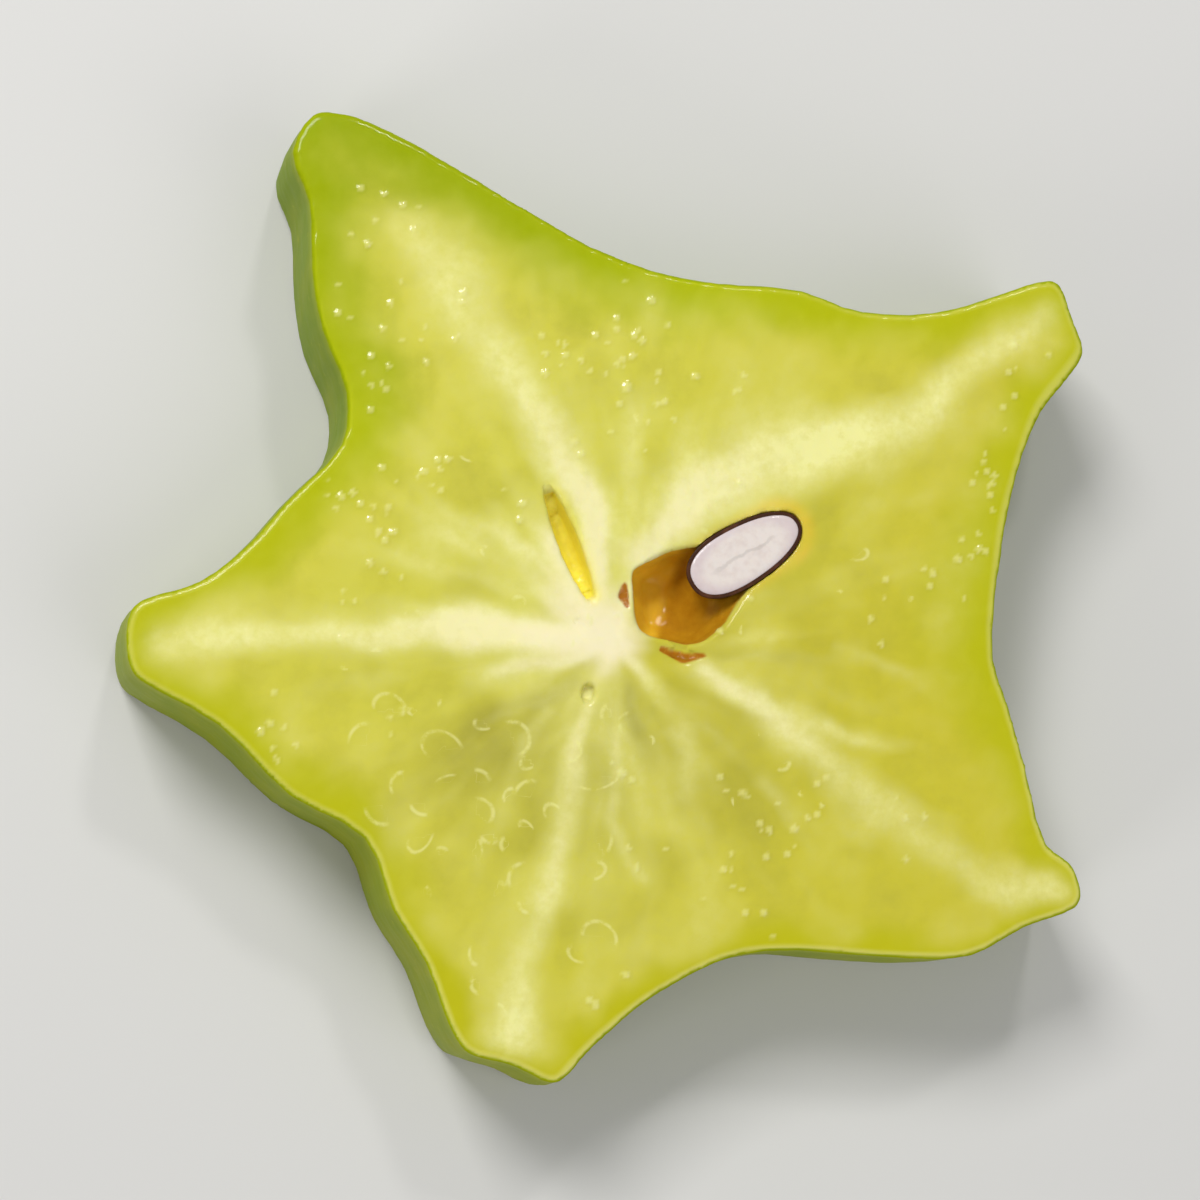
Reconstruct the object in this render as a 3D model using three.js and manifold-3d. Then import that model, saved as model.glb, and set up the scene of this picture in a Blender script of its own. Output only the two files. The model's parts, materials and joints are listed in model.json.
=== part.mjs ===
import * as THREE from "three";
import { mergeVertices } from "three/addons/utils/BufferGeometryUtils.js";
import Module from "manifold-3d";

// A crosswise slice of star fruit, lying on its lower cut face, with one halved seed in an open locule.
// Millimetres, +Z up. The origin is on the fruit's core, at the level of the resting face.
// Seen from above, the longest rib points to the upper left.

// Slice
const THICKNESS = 9.5;
const EDGE_ROUND = 0.15;
// The fruit widens a little towards its middle, which is below the slice, and its axis leans.
const FOOT_FLARE = 0.02;
const FOOT_SHIFT = new THREE.Vector2(-0.5, 0.1);
// Between the two cut faces the flank swells by this much.
const FLANK_BULGE = 0.1;
const FLANK_LEVELS = [0.35, 0.65];
// Points on the curve between one anchor of the outline and the next
const OUTLINE_STEPS = 3;
// Loops on the upper face, as shares of its full width, close enough to carry its relief
const FACE_SHARES = [0.93, 0.82, 0.69, 0.56, 0.43, 0.3, 0.17, 0.08, 0];
// The relief reaches its full height this far in from the edge, as a share of the width.
const RELIEF_MARGIN = 0.12;

// The upper cut outline, counter-clockwise, as x and y from the core. Each rib is a blunt tip
// between two flanks, and its neighbours meet it in shallow valleys.
const OUTLINE = [
  // valley on the right, and the flank up to the upper right rib
  [21.1, -0.5], [21.5, 4.7], [22.6, 9.6], [24.0, 13.4],
  // square tip of the upper right rib, and its upper flank
  [25.9, 15.8], [26.5, 16.9], [25.9, 18.8], [25.2, 20.6], [24.7, 20.8], [22.1, 20.1], [18.0, 18.9],
  // upper valley, and the flank up to the long upper left rib
  [14.0, 18.8], [10.6, 19.9], [5.2, 20.2], [0.6, 21.2], [-4.8, 24.1], [-9.9, 26.9],
  // tip of the upper left rib, and its outer flank
  [-13.3, 28.6], [-15.2, 29.0], [-16.3, 28.9], [-17.5, 26.8], [-16.6, 24.1], [-16.4, 20.4], [-15.8, 17.0],
  // left valley, and the flank down to the left rib
  [-14.4, 13.6], [-14.7, 10.8], [-17.6, 7.4], [-19.5, 5.1], [-22.0, 3.1],
  // square tip of the left rib, and its lower flank
  [-25.0, 2.1], [-25.6, 1.5], [-25.8, 0.1], [-25.6, -1.4], [-25.1, -2.1], [-20.9, -4.5], [-17.1, -8.1],
  // lower left valley, and the flank down to the short bottom rib
  [-13.2, -10.4], [-11.7, -14.1], [-9.9, -17.0],
  // tip of the bottom rib, and its right flank
  [-8.7, -20.1], [-7.8, -21.5], [-7.2, -21.8], [-5.0, -22.4], [-3.3, -23.2], [-2.7, -23.1], [-0.9, -21.3],
  [1.4, -19.3], [5.5, -16.9],
  // lower right valley
  [8.3, -16.3], [14.4, -16.6],
  // broad tip of the lower right rib, and its upper flank
  [19.6, -16.5], [22.6, -15.0], [25.4, -14.0], [25.8, -13.4], [25.6, -12.2], [25.2, -11.5], [23.9, -10.5],
  [22.8, -6.0], [21.9, -3.0],
];

// Relief of the upper cut face: pale rays that run from the core to the rib tips stand proud,
// fainter ones run to the valleys, and the flesh between them is slightly sunk.
const RIB_TIPS = [[-15.9, 29.3], [26.2, 19.4], [25.9, -13.8], [-5.3, -22.8], [-26.0, 0]];
const VALLEYS = [[4.0, 20.4], [-14.9, 10.4], [-13.2, -10.3], [6.3, -16.4], [21.1, -0.4]];
const RAY = { rise: 0.24, halfWidth: 1.5, reach: 1.15 };
const SEPTUM = { rise: 0.1, halfWidth: 0.9, reach: 1 };
const CORE = { rise: 0.2, radius: 2.2 };
const WAVE = { rise: 0.07, length: 3.3, shiftX: 0.4, shiftY: -0.8 };

// Locule: the open chamber that holds the seed, as x and y from the core, counter-clockwise
const CHAMBER_CENTRE = new THREE.Vector2(5.0, 3.6);
const CHAMBER = [
  [1.16, 4.1], [1.16, 2.9], [1.28, 1.5], [1.6, 0.8],
  [3.45, 0.26], [4.1, 0.14], [5.1, 0.4], [6.9, 2.05], [7.9, 3.1], [8.8, 4.4],
  [9.9, 5.7], [10.6, 7.1], [9.8, 7.9],
  [7.9, 7.6], [5.6, 6.1], [4.1, 5.7], [2.56, 4.9],
];
// The floor rises from its full depth to the shallow end, which the seed is bedded in, between
// these two x from the centre.
const CHAMBER_DEPTH = 3.8;
const CHAMBER_SHALLOW_DEPTH = 1.3;
const CHAMBER_SLOPE = [-2.8, 1.5];
const CHAMBER_STEPS = 4;

// Seed: half of it, cut lengthwise level with the face, with its fatter end towards the core
const SEED_PLACE = new THREE.Vector2(7.28, 5.17);
const SEED_BEARING = THREE.MathUtils.degToRad(31);
const SEED_LENGTH = 7.05;
const SEED_WIDTH = 3.4;
const SEED_DEPTH = 2.7;
const SEED_TAPER = 0.13;
const SEED_PROUD = 0.15;
const SEED_POINTS = 36;
// Under 1, this squares the seed's outline a little off an ellipse.
const SEED_ROUNDNESS = 0.86;
const COAT_WALL = 0.3;
const KERNEL_GAP = 0.1;
const SEED_BED_GAP = 0.25;

// Bowl shapes, each a list of shares of the width and of the depth, from the lowest point up
const CHAMBER_BOWL = [[0, -1], [0.45, -0.96], [0.75, -0.82], [0.92, -0.52], [1, -0.15]];
const SEED_BOWL = [[0, -1], [0.4, -0.93], [0.72, -0.74], [0.92, -0.42], [1, 0]];
const SLIT_BOWL = [[0, -1], [0.6, -0.85], [1, -0.1]];

// Narrow openings in the upper face: the slit of the upper left locule and the creases of the
// closed locules round the core. Each is a lens from one point to another, with a width and a depth.
const UPPER_SLITS = [
  { from: [-0.95, 2.05], to: [-3.76, 9.07], width: 1.25, depth: 1.8 },
  { from: [2.5, -0.1], to: [5.0, -0.6], width: 0.5, depth: 1.1 },
  { from: [-1.2, -1.9], to: [-1.45, -3.2], width: 0.7, depth: 0.9 },
  { from: [-2.5, 1.9], to: [-1.0, 0.35], width: 0.3, depth: 0.6 },
  { from: [0.45, -1.2], to: [1.1, -2.1], width: 0.3, depth: 0.6 },
  { from: [0.55, 3.4], to: [0.65, 2.1], width: 0.4, depth: 0.7 },
];
// The lower face cuts all five locules where they are narrow.
const LOWER_SLITS = [
  { from: [2.4, 1.7], to: [7.9, 5.4], width: 1.2, depth: 1.6 },
  { from: [-1.0, 2.6], to: [-3.5, 8.4], width: 1.0, depth: 1.6 },
  { from: [-2.8, 0.1], to: [-8.3, 0.2], width: 0.8, depth: 1.4 },
  { from: [-0.7, -2.7], to: [-2.1, -7.8], width: 0.9, depth: 1.4 },
  { from: [2.5, -1.4], to: [7.2, -4.1], width: 0.8, depth: 1.4 },
];
const SLIT_POINTS = 18;
// Over 1, this draws a slit's ends out to points.
const SLIT_POINTEDNESS = 1.4;
// Cutting shapes reach this far out of the face that they open.
const OVERCUT = 1.5;

const wasm = await Module();
wasm.setup();

/** Points, each with its outward normal, on a smooth closed curve that passes through the anchors. */
function smoothOutline(anchors, steps, centre = new THREE.Vector2()) {
  const places = anchors.map(([x, y]) => new THREE.Vector3(x - centre.x, y - centre.y, 0));
  const curve = new THREE.CatmullRomCurve3(places, true, "centripetal");
  return withNormals(curve.getPoints(anchors.length * steps).slice(0, -1));
}

/** The outward normal at each point of a counter-clockwise loop, from its two neighbours. */
function withNormals(points) {
  return points.map((point, i) => {
    const before = points[(i + points.length - 1) % points.length];
    const after = points[(i + 1) % points.length];
    const along = new THREE.Vector2(after.x - before.x, after.y - before.y).normalize();
    return { x: point.x, y: point.y, normal: new THREE.Vector2(along.y, -along.x) };
  });
}

/** A power that keeps the sign of its base. */
function signedPower(base, exponent) {
  return Math.sign(base) * Math.abs(base) ** exponent;
}

/** One level loop of a moulded solid: the outline drawn in by some millimetres, then scaled. */
function ring(share, inset, level) {
  return { share, inset, level };
}

/** Loops of a bowl of the given depth below level zero. */
function bowlRings(bowl, inset, depth) {
  return bowl.map(([share, level]) => ring(share, inset, level * depth));
}

/** A bowl that goes on straight up out of the face and is closed above it, as a cutting shape. */
function cutterRings(bowl, inset, depth) {
  return [...bowlRings(bowl, inset, depth), ring(1, inset, OVERCUT), ring(0, inset, OVERCUT)];
}

/** Loops of a quarter-round edge that starts or ends at full width, listed from the bottom up. */
function roundedEdge(radius, level, upper) {
  const steps = 2;
  return Array.from({ length: steps + 1 }, (_, step) => {
    const turn = (step / steps) * (Math.PI / 2);
    const angle = upper ? turn : Math.PI / 2 - turn;
    const rise = radius * (1 - Math.sin(angle));
    return ring(1, radius * (1 - Math.cos(angle)), upper ? level - rise : level + rise);
  });
}

/** A closed solid of level loops, from its lowest centre to its highest. Place moves each point. */
function moulded(outline, rings, place = (x, y, z) => [x, y, z]) {
  const profile = rings.map(({ share, level }) => new THREE.Vector2(share, level));
  const lathe = new THREE.LatheGeometry(profile, outline.length);
  const positions = lathe.getAttribute("position");
  for (let i = 0; i < positions.count; i++) {
    const around = outline[Math.floor(i / rings.length) % outline.length];
    const { share, inset, level } = rings[i % rings.length];
    const x = (around.x - around.normal.x * inset) * share;
    const y = (around.y - around.normal.y * inset) * share;
    positions.setXYZ(i, ...place(x, y, level, share));
  }
  return welded(lathe);
}

/** The same surface with shared vertices, and without the triangles that the end points flatten. */
function welded(geometry) {
  geometry.deleteAttribute("normal");
  geometry.deleteAttribute("uv");
  const merged = mergeVertices(geometry, 1e-4);
  const corners = merged.getIndex().array;
  const kept = [];
  for (let i = 0; i < corners.length; i += 3) {
    const [a, b, c] = corners.slice(i, i + 3);
    if (a !== b && b !== c && c !== a) {
      kept.push(a, b, c);
    }
  }
  merged.setIndex(kept);
  return merged;
}

function toManifold(geometry) {
  const vertProperties = new Float32Array(geometry.getAttribute("position").array);
  const triVerts = new Uint32Array(geometry.getIndex().array);
  return new wasm.Manifold(new wasm.Mesh({ numProp: 3, vertProperties, triVerts }));
}

function toGeometry(manifold) {
  const { vertProperties, triVerts } = manifold.getMesh();
  const geometry = new THREE.BufferGeometry();
  geometry.setAttribute("position", new THREE.BufferAttribute(vertProperties, 3));
  geometry.setIndex(new THREE.BufferAttribute(triVerts, 1));
  return geometry;
}

/** Height of a soft ridge from the core towards an end point, fading out as it gets there. */
function ridge(x, y, [endX, endY], { rise, halfWidth, reach }) {
  const length = Math.hypot(endX, endY);
  const along = (x * endX + y * endY) / length;
  const aside = (x * endY - y * endX) / length;
  if (along <= 0) {
    return 0;
  }
  const fade = THREE.MathUtils.clamp(reach - along / length, 0, 1);
  return rise * fade * Math.exp(-((aside / halfWidth) ** 2));
}

/** Height of the upper cut face above its mean level. */
function faceRelief(x, y) {
  const core = CORE.rise * Math.exp(-((Math.hypot(x, y) / CORE.radius) ** 2));
  const rays = RIB_TIPS.map((tip) => ridge(x, y, tip, RAY));
  const septa = VALLEYS.map((valley) => ridge(x, y, valley, SEPTUM));
  const wave = Math.sin(x / WAVE.length + WAVE.shiftX) * Math.cos(y / WAVE.length + WAVE.shiftY);
  return Math.max(core, ...rays, ...septa) + WAVE.rise * wave;
}

/** A star-shaped block with rounded edges, a leaning flank and a relief on its upper face. */
function sliceBlock() {
  const rings = [
    ring(0, EDGE_ROUND, 0),
    ring(0.5, EDGE_ROUND, 0),
    ...roundedEdge(EDGE_ROUND, 0, false),
    ...FLANK_LEVELS.map((level) => ring(1, -FLANK_BULGE, THICKNESS * level)),
    ...roundedEdge(EDGE_ROUND, THICKNESS, true),
    ...FACE_SHARES.map((share) => ring(share, EDGE_ROUND, THICKNESS)),
  ];
  return moulded(smoothOutline(OUTLINE, OUTLINE_STEPS), rings, (x, y, level, share) => {
    const lower = 1 - level / THICKNESS;
    const grow = 1 + FOOT_FLARE * lower;
    const onFace = level === THICKNESS && share < 1;
    const relief = onFace ? faceRelief(x, y) * THREE.MathUtils.smoothstep(1 - share, 0, RELIEF_MARGIN) : 0;
    return [x * grow + FOOT_SHIFT.x * lower, y * grow + FOOT_SHIFT.y * lower, level + relief];
  });
}

/** The bowl of the open locule, deepest near the core, ready to be cut from the slice. */
function chamberBowl() {
  const outline = smoothOutline(CHAMBER, CHAMBER_STEPS, CHAMBER_CENTRE);
  return moulded(outline, cutterRings(CHAMBER_BOWL, 0, 1), (x, y, level) => {
    const shallower = THREE.MathUtils.smoothstep(x, ...CHAMBER_SLOPE);
    const depth = THREE.MathUtils.lerp(CHAMBER_DEPTH, CHAMBER_SHALLOW_DEPTH, shallower);
    const rise = level > 0 ? level : level * depth;
    return [x + CHAMBER_CENTRE.x, y + CHAMBER_CENTRE.y, THICKNESS + rise];
  });
}

/** A lens-shaped opening that narrows with depth, cut into the upper or the lower face. */
function slitBlade({ from, to, width, depth }, upper) {
  const start = new THREE.Vector2(...from);
  const end = new THREE.Vector2(...to);
  const middle = start.clone().add(end).multiplyScalar(0.5);
  const half = end.clone().sub(start).multiplyScalar(0.5);
  const side = new THREE.Vector2(-half.y, half.x).normalize();
  const loop = Array.from({ length: SLIT_POINTS }, (_, i) => {
    const turn = (i / SLIT_POINTS) * 2 * Math.PI;
    const bulge = signedPower(Math.sin(turn), SLIT_POINTEDNESS) * (width / 2);
    return half.clone().multiplyScalar(Math.cos(turn)).addScaledVector(side, bulge);
  });
  const rings = cutterRings(SLIT_BOWL, 0, depth);
  const turnedOver = rings.map(({ share, inset, level }) => ring(share, inset, -level)).reverse();
  const face = upper ? THICKNESS : 0;
  return moulded(withNormals(loop), upper ? rings : turnedOver, (x, y, level) => {
    return [x + middle.x, y + middle.y, level + face];
  });
}

/** Outline of the seed about its own centre, with its long axis along x. */
function seedOutline() {
  const loop = Array.from({ length: SEED_POINTS }, (_, i) => {
    const turn = (i / SEED_POINTS) * 2 * Math.PI;
    const lengthwise = signedPower(Math.cos(turn), SEED_ROUNDNESS);
    const across = signedPower(Math.sin(turn), SEED_ROUNDNESS) * (1 - SEED_TAPER * lengthwise);
    return new THREE.Vector2((lengthwise * SEED_LENGTH) / 2, (across * SEED_WIDTH) / 2);
  });
  return withNormals(loop);
}

/** Loops of the seed's rounded underside and short upright rim, drawn in by some millimetres. */
function seedRings(inset) {
  return [...bowlRings(SEED_BOWL, inset, SEED_DEPTH - inset), ring(1, inset, SEED_PROUD)];
}

function seedCoat() {
  return moulded(seedOutline(), [...seedRings(0), ...seedRings(COAT_WALL).reverse()]);
}

function seedKernel() {
  const inset = COAT_WALL + KERNEL_GAP;
  return moulded(seedOutline(), [...seedRings(inset), ring(0, inset, SEED_PROUD)]);
}

/** The hollow that the seed lies in: its own shape with clearance all round. */
function seedBed(seedFrame) {
  const rings = cutterRings(SEED_BOWL, -SEED_BED_GAP, SEED_DEPTH + SEED_BED_GAP);
  return moulded(seedOutline(), rings).applyMatrix4(seedFrame);
}

/** The flesh and skin in one piece, with its locules opened by the cut. */
function fruitSlice(seedFrame) {
  const cutters = [
    chamberBowl(),
    seedBed(seedFrame),
    ...UPPER_SLITS.map((slit) => slitBlade(slit, true)),
    ...LOWER_SLITS.map((slit) => slitBlade(slit, false)),
  ];
  const block = toManifold(sliceBlock());
  return toGeometry(cutters.reduce((solid, cutter) => solid.subtract(toManifold(cutter)), block));
}

function namedMesh(name, geometry, color, roughness) {
  const material = new THREE.MeshStandardMaterial({ color, roughness, metalness: 0 });
  const mesh = new THREE.Mesh(geometry, material);
  mesh.name = name;
  return mesh;
}

const seed = new THREE.Group();
seed.position.set(SEED_PLACE.x, SEED_PLACE.y, THICKNESS);
seed.rotation.z = SEED_BEARING;
seed.add(namedMesh("seed_coat", seedCoat(), 0x5a2f14, 0.4));
seed.add(namedMesh("seed_kernel", seedKernel(), 0xe8ddd2, 0.5));
seed.updateMatrixWorld(true);

const starFruitSlice = new THREE.Group();
starFruitSlice.add(namedMesh("fruit_slice", fruitSlice(seed.matrixWorld), 0xcfcb50, 0.3));
starFruitSlice.add(seed);

export default starFruitSlice;
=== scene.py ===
import json
import math
import random

import bmesh
import bpy
import numpy as np
from mathutils import Matrix, Vector, kdtree, noise

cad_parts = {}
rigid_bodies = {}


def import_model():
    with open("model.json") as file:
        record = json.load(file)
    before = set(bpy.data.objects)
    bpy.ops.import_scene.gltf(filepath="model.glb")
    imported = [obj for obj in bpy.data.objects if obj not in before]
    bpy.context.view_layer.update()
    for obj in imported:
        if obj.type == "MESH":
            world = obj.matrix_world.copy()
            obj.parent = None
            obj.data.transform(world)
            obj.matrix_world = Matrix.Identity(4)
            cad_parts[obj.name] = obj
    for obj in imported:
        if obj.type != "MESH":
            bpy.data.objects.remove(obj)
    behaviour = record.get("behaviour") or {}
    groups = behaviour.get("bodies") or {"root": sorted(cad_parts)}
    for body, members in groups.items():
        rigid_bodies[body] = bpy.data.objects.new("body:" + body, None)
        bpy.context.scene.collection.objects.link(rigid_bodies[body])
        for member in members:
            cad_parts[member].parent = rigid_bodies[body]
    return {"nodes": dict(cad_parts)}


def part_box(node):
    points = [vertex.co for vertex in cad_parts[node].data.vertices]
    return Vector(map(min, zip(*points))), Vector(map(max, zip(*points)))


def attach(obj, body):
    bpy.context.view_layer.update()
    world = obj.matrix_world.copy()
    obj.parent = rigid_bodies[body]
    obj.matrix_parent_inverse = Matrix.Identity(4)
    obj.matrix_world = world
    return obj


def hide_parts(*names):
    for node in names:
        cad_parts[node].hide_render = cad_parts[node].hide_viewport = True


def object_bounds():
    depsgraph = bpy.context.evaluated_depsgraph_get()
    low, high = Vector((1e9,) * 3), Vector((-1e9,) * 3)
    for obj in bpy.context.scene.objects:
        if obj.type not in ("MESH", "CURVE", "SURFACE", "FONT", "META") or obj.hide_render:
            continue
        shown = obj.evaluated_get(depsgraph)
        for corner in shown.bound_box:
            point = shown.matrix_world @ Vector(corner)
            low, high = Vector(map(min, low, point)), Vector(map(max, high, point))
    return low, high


bl_info = {
    "name": "Star Fruit Slice",
    "version": (1, 0, 0),
    "blender": (4, 5, 0),
    "location": "3D View > Sidebar > Star Fruit",
    "description": "Finishes a wet slice of star fruit with a halved seed around its packed solids",
    "category": "Add Mesh",
}

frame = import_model()
CAD_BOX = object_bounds()
MM = 0.001

# Anatomy of the slice, in millimetres from the core, seen from above. The upper cut face is
# level with the middle of the seed's cut, which stands a little proud of it.
SEED_PROUD = 0.15
FACE_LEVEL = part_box("seed_coat")[1].z / MM - SEED_PROUD
# How far out the pockets of the upper face and the slits of the lower one reach
POCKET_REACH = 13.4
SLITS_END = 9.2
# How far down from the upper face its fine mesh and its relief go
FACE_DEPTH = 0.4
# The lower face and its edge lie below this height
LOWER_EDGE = 0.1
# The solids keep about this gap between the seed and its bed, and the flesh is drawn in from
# the reach, until it stands off the seed by no more than these.
BED_GAP = 0.5
BED_REACH = 1.3
BED_STAND_OFF = (0.04, 0.06)
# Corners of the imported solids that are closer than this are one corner
MERGE_GAP = 0.002 * MM
# The floor lies a hair below the lower face, so that the two surfaces don't share a plane.
FLOOR_GAP = 0.02 * MM


class Band:
    """A soft band in the flesh along a line of places, with its strength and width from start to end."""

    def __init__(self, places, strength, width):
        self.places = np.array(places, float)
        self.strength = strength
        self.width = width

    def weight(self, flat):
        """How strongly the band shows at each point."""
        steps = np.diff(self.places, axis=0)
        lengths = np.hypot(*steps.T)
        begins = np.cumsum(lengths) - lengths
        nearest = np.full(len(flat), np.inf)
        share = np.zeros(len(flat))
        for place, step, length, begin in zip(self.places, steps, lengths, begins):
            along = np.clip((flat - place) @ step / length, 0, length)
            gap = np.linalg.norm(flat - place - along[:, None] * step / length, axis=1)
            closer = gap < nearest
            nearest[closer] = gap[closer]
            share[closer] = (begin + along[closer]) / lengths.sum()
        stops = np.linspace(0, 1, len(self.strength))
        width = np.interp(share, stops, self.width)
        return np.interp(share, stops, self.strength) * np.exp(-((nearest / width) ** 2))


# Pale vascular rays from the core to the tips of the ribs, counter-clockwise from the longest
PALE_BANDS = [
    Band(
        ((0.2, 1.5), (-1.0, 6.5), (-2.9, 11.0), (-6.0, 15.5), (-9.6, 20.7), (-12.6, 25.6)),
        strength=(0.6, 0.85, 0.8, 0.55, 0.0), width=(0.9, 1.2, 1.4, 1.7, 2.0),
    ),
    Band(
        ((-0.8, 0.6), (-5.0, 0.7), (-10.0, 0.7), (-16.0, 0.3), (-26.0, 0.1)),
        strength=(1.0, 1.0, 0.9, 0.7, 0.45), width=(1.0, 1.2, 0.9, 0.9, 1.3),
    ),
    Band(
        ((-1.5, -2.6), (-2.1, -5.9), (-2.6, -9.3), (-3.5, -13.3), (-4.7, -16.8), (-5.6, -21.8)),
        strength=(0.55, 0.6, 0.6, 0.6, 0.9), width=(0.45, 0.75, 0.8, 0.9, 1.5),
    ),
    Band(
        ((4.8, -0.9), (6.6, -2.3), (9.2, -4.2), (14.5, -8.6), (20.0, -12.2), (25.6, -13.6)),
        strength=(0.75, 0.6, 0.45, 0.5, 0.8), width=(0.5, 0.9, 1.2, 0.9, 1.4),
    ),
    Band(
        ((1.2, 5.0), (4.6, 8.2), (8.5, 10.4), (12.4, 11.4), (16.3, 12.9), (19.9, 15.7), (25.6, 19.7)),
        strength=(0.8, 0.85, 0.75, 0.5, 0.45), width=(1.4, 2.1, 1.6, 1.0, 0.6),
    ),
    # Lips of the narrow locule, and the lobe below the left ray
    Band(((-2.2, 3.0), (-3.0, 5.2), (-4.8, 8.0)), strength=(0.95, 0.85, 0.1), width=(0.6, 0.7, 0.8)),
    Band(((-0.3, 2.5), (-0.5, 5.5), (-1.8, 9.0)), strength=(0.9, 0.9, 0.6), width=(0.6, 0.7, 0.9)),
    Band(((-1.6, -0.5), (-4.5, -0.9), (-7.2, -1.8)), strength=(0.9, 0.8, 0.25), width=(0.35, 0.5, 0.7)),
    # Forks and strands that leave the rays
    Band(((9.2, -4.2), (12.5, -4.9), (16.2, -5.2)), strength=(0.4, 0.55, 0.1), width=(0.6, 0.5, 0.4)),
    Band(((8.0, -7.2), (10.8, -10.8)), strength=(0.35, 0.05), width=(0.5, 0.4)),
    Band(((-0.6, -3.0), (-1.0, -10.5)), strength=(0.36, 0.12), width=(2.0, 4.6)),
    Band(((0.2, -4.6), (-0.3, -9.2), (1.3, -12.4)), strength=(0.35, 0.5, 0.4), width=(0.7, 0.6, 0.4)),
    Band(((3.9, -4.6), (4.2, -7.6)), strength=(0.4, 0.3), width=(0.6, 0.5)),
    Band(((-3.8, -3.4), (-6.9, -11.6)), strength=(0.3, 0.1), width=(0.4, 0.5)),
    Band(((-3.2, 4.6), (-7.0, 6.2), (-12.0, 9.4)), strength=(0.5, 0.35, 0.0), width=(0.4, 0.5, 0.5)),
    Band(((-3.0, 3.0), (-8.5, 3.8), (-14.0, 4.6)), strength=(0.45, 0.25, 0.0), width=(0.5, 0.5, 0.4)),
    Band(((1.0, 6.5), (1.2, 11.0), (0.6, 16.0)), strength=(0.45, 0.3, 0.0), width=(0.5, 0.6, 0.6)),
    Band(((8.0, 10.5), (8.3, 14.5)), strength=(0.5, 0.0), width=(0.8, 0.6)),
    Band(((12.0, 0.0), (16.0, -0.9), (18.2, -3.4)), strength=(0.2, 0.25, 0.0), width=(0.3, 0.25, 0.3)),
]
# Watery streaks between the rays
WATERY_BANDS = [
    Band(
        ((-2.2, -1.8), (-5.6, -3.6), (-9.6, -6.8), (-12.8, -10.4)),
        strength=(0.8, 0.9, 0.5, 0.5), width=(0.5, 0.9, 1.4, 1.8),
    ),
    Band(((0.8, -2.2), (1.5, -4.2), (3.2, -6.8)), strength=(0.8, 1.0, 0.2), width=(0.4, 0.9, 1.0)),
    Band(((5.8, -0.3), (9.0, -0.6), (13.0, -0.5)), strength=(0.5, 0.45, 0.0), width=(0.35, 0.5, 0.6)),
    Band(((7.6, 3.0), (11.5, 3.2)), strength=(0.35, 0.0), width=(0.8, 0.8)),
    Band(((-4.6, 4.1), (-8.2, 6.8)), strength=(0.35, 0.1), width=(0.5, 0.6)),
]
# Stained creases beside the open locule
CREASES = [
    Band(((2.7, -0.15), (3.9, -0.6), (5.0, -0.45)), strength=(0.9, 1.0, 0.7), width=(0.22, 0.38, 0.2)),
    Band(((0.66, 3.3), (0.6, 2.7), (0.8, 2.2)), strength=(0.8, 1.0, 0.8), width=(0.22, 0.34, 0.2)),
]
# Amber tint of the flesh that touches the seed
SEED_TINT = Band(((5.3, 3.9), (9.2, 6.3)), strength=(1.0, 1.0), width=(1.75, 1.75))
# Yellow flesh beside the narrow locule; towards its upper end the band is painted light over the slit's
# shade
SLIT_GLOW = Band(((-1.0, 2.7), (-1.9, 5.2), (-3.2, 8.2)), strength=(0.75, 0.7, 0.5), width=(0.4, 0.55, 0.5))

# How the flesh changes round the core, as bearings in degrees, counter-clockwise from +X, each
# with a value: how far out in millimetres it stays pale, how wide and how green its rim is, how
# golden it ripens, and how watery it is near the core.
PALE_REACH = ((-140, 5.0), (-70, 5.5), (0, 6.0), (75, 13.5), (145, 9.5))
RIM_WIDTH = (
    (-142, 3.4), (-103, 2.0), (-70, 2.4), (-28, 2.0), (0, 6.4), (14, 6.4),
    (36, 3.0), (75, 4.4), (118, 5.4), (145, 4.0), (180, 3.0),
)
GREEN_RIM = (
    (-142, 0.4), (-103, 0.15), (-70, 0.2), (-28, 0.2), (0, 0.45),
    (36, 0.5), (75, 1.0), (118, 1.3), (145, 0.9), (180, 0.5),
)
GOLDEN = ((-142, 0.25), (-103, 0.35), (-28, 0.9), (0, 1.0), (36, 0.6), (75, 0.1), (118, 0.0), (180, 0.1))
WATERY = ((-170, 0.1), (-140, 0.8), (-95, 0.35), (-60, 0.6), (-20, 0.4), (0, 0.4), (75, 0.05), (145, 0.1))
# How far out the core stays nearly white, by bearing
WHITE_REACH = (
    (-165, 4.6), (-140, 2.4), (-103, 2.8), (-60, 1.7), (-20, 2.8),
    (36, 3.0), (75, 4.2), (115, 6.5), (150, 6.0), (178, 8.0),
)

# Where opened juice sacs gather: centre, spread, and least and greatest radius
SAC_GROUPS = (
    ((-8.8, -6.4), (3.6, 2.2), (0.6, 1.3)),
    ((-6.6, -10.0), (2.6, 3.4), (0.4, 1.0)),
    ((1.0, -1.0), (10.0, 10.0), (0.2, 0.6)),
)
# The pale arc that a sac leaves: how flat it can be, half its angle and how softly it ends in
# radians, and the room round it as a share of its radius
ARC_SQUASH = (0.55, 1.0)
ARC_HALF_ANGLE = (0.7, 2.1)
ARC_SOFT_END = 0.5
ARC_ROOM = 0.85
LOOP_SEED = 11

# Where clusters of juice beads stand: centre, spread and how many clusters
BEAD_GROUPS = (
    ((-13.5, 13.5), (1.8, 4.5), 15),
    ((2.0, 16.5), (6.5, 1.8), 11),
    ((20.5, 8.0), (2.0, 5.0), 11),
    ((-15.5, -4.8), (1.8, 1.0), 3),
    ((6.0, -11.0), (7.0, 4.5), 10),
    ((-2.0, 0.0), (12.0, 11.0), 14),
)
BEAD_RADIUS = (0.12, 0.24)
# A bead's height as a share of its radius, and how far the beads of a cluster scatter
BEAD_HEIGHT = 0.55
CLUSTER_SPREAD = 0.9
BEAD_SEED = 23

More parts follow.
